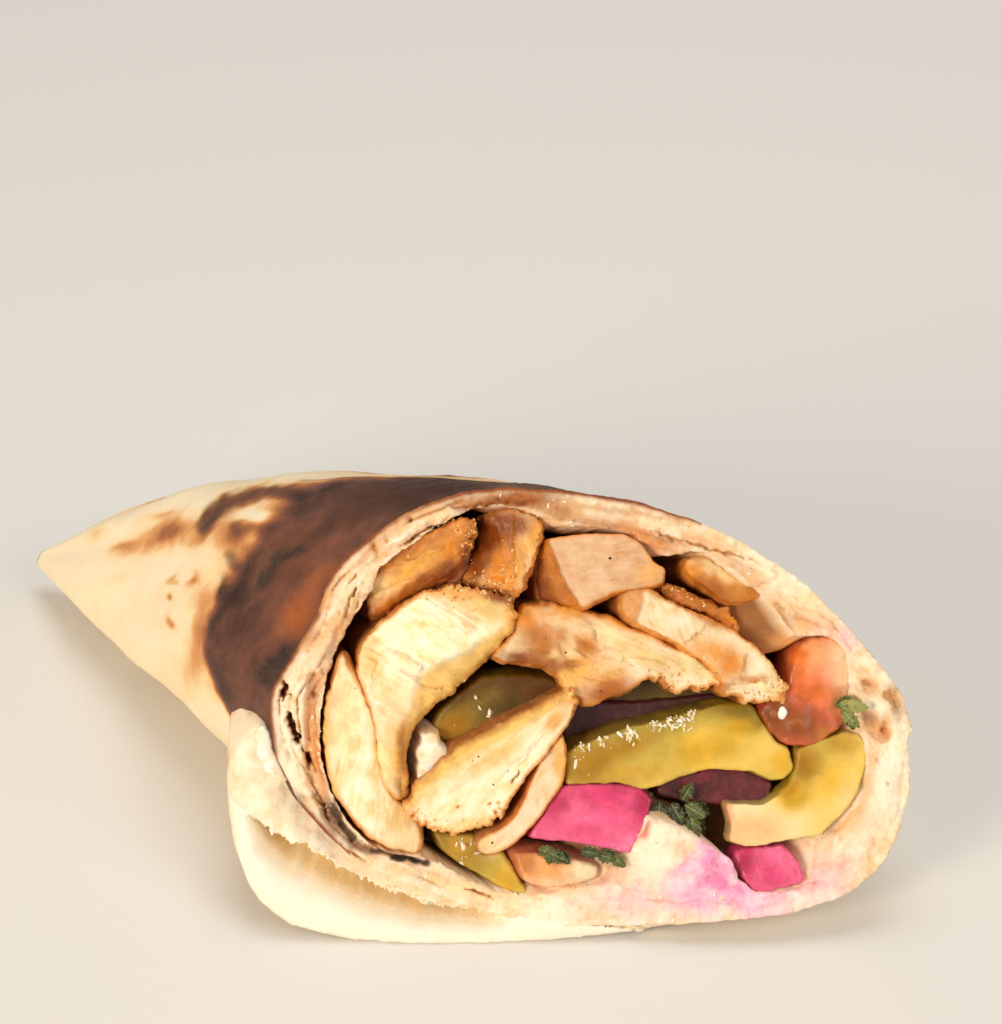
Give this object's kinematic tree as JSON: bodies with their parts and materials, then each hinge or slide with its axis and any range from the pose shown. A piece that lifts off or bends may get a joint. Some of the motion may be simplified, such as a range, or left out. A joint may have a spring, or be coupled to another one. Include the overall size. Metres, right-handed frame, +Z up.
{
  "type": "doner kebab wrap half",
  "caption": "Half of a toasted flatbread wrap cut on a slant, with a closed pointed end, a loose bread flap and a filling of grilled chicken, pickles, tomato and herbs.",
  "frame": {"origin": "centre of the footprint, on the surface that the wrap lies on", "axes": "+X to the right along the cut face, with the pointed end at -X; +Y away from the cut face, which leans back towards +Y; +Z up"},
  "size_m": [0.1494, 0.099, 0.0604],
  "materials": {
    "toasted_flatbread": "thin floury flatbread, pale cream with scorched brown patches",
    "grilled_chicken": "moist fibrous grilled chicken with a browned orange crust",
    "pickled_cucumber": "wet translucent yellow-green pickle",
    "pickled_turnip": "wet magenta pickled turnip",
    "tomato": "wet coral tomato flesh",
    "garlic_sauce": "smooth white garlic sauce",
    "parsley": "soft dark green leaf"
  },
  "bodies": {
    "root": {"flatbread": "toasted_flatbread", "chicken_block": "grilled_chicken", "chicken_crusted": "grilled_chicken", "chicken_tucked": "grilled_chicken", "chicken_deep": "grilled_chicken", "chicken_curl": "grilled_chicken", "chicken_long": "grilled_chicken", "chicken_arch": "grilled_chicken", "chicken_outer": "grilled_chicken", "chicken_flake": "grilled_chicken", "chicken_top": "grilled_chicken", "chicken_lower": "grilled_chicken", "chicken_thin": "grilled_chicken", "pickle_back": "pickled_cucumber", "pickle_slice": "pickled_cucumber", "pickle_hook": "pickled_cucumber", "pickle_wedge": "pickled_cucumber", "turnip_block": "pickled_turnip", "turnip_low": "pickled_turnip", "turnip_shade": "pickled_turnip", "turnip_deep": "pickled_turnip", "tomato_side": "tomato", "tomato_low": "tomato", "garlic_sauce": "garlic_sauce", "herb_middle": "parsley", "herb_inner": "parsley", "herb_low": "parsley", "herb_side": "parsley"}
  },
  "joints": []
}
